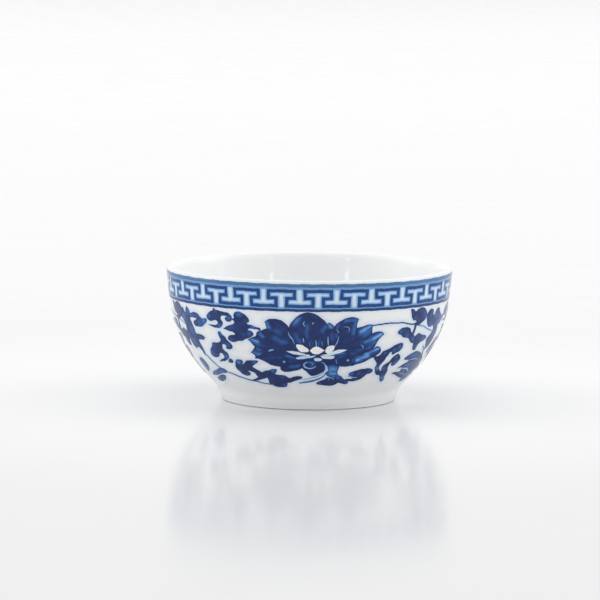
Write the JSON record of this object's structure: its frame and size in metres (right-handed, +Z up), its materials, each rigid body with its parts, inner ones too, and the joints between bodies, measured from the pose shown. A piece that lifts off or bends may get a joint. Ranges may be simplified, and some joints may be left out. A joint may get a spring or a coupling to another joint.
{
  "type": "tea bowl",
  "caption": "Small glazed porcelain tea bowl with a rounded belly, a short tapered foot ring and blue painted key-fret and lotus-scroll bands; holds a few sips of tea.",
  "frame": {"origin": "centre of the foot ring's resting plane, on the bowl's axis", "axes": "+Z up along the bowl's axis of symmetry, X and Y level, -Y towards the viewer of the main view"},
  "size_m": [0.0702, 0.0702, 0.0327],
  "materials": {
    "white_glaze": "clear glossy glaze over white porcelain",
    "cobalt_print": "cobalt blue painting under the same clear glaze",
    "bare_foot": "unglazed fired rim of the foot ring"
  },
  "bodies": {
    "root": {"tea_bowl": "white_glaze"}
  },
  "joints": []
}
